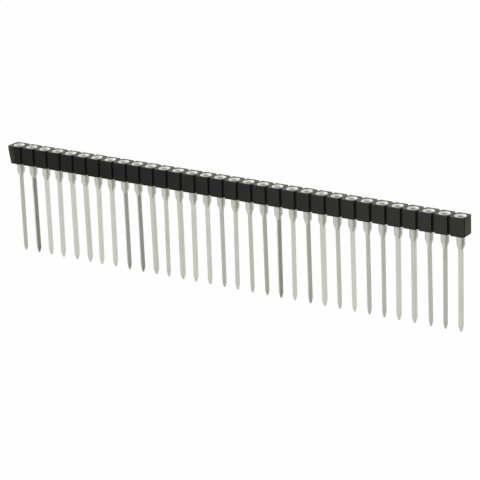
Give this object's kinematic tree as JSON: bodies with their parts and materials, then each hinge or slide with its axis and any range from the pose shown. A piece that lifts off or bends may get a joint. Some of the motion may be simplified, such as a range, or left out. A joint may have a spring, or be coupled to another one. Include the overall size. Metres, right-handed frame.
{
  "type": "ic socket",
  "caption": "Single-row break-away socket strip with turned contacts, inner spring clips and long square wire-wrap posts.",
  "frame": {"origin": "centre of the housing's flat underside, halfway along the row, in the plane of the contacts", "axes": "+X along the row, +Z out of the socket mouths, posts towards -Z"},
  "size_m": [0.0812, 0.0024, 0.0175],
  "materials": {
    "housing": "black glass-filled thermoplastic, fine moulded texture, rough where it was snapped off",
    "contact": "turned brass, matt tin-lead plating over nickel",
    "clip": "beryllium copper spring, tin plated, dull inside the bore"
  },
  "bodies": {
    "root": {"housing": "housing", "contact_01": "contact", "contact_02": "contact", "contact_03": "contact", "contact_04": "contact", "contact_05": "contact", "contact_06": "contact", "contact_07": "contact", "contact_08": "contact", "contact_09": "contact", "contact_10": "contact", "contact_11": "contact", "contact_12": "contact", "contact_13": "contact", "contact_14": "contact", "contact_15": "contact", "contact_16": "contact", "contact_17": "contact", "contact_18": "contact", "contact_19": "contact", "contact_20": "contact", "contact_21": "contact", "contact_22": "contact", "contact_23": "contact", "contact_24": "contact", "contact_25": "contact", "contact_26": "contact", "contact_27": "contact", "contact_28": "contact", "contact_29": "contact", "contact_30": "contact", "contact_31": "contact", "contact_32": "contact", "contact_clips": "clip"}
  },
  "joints": []
}
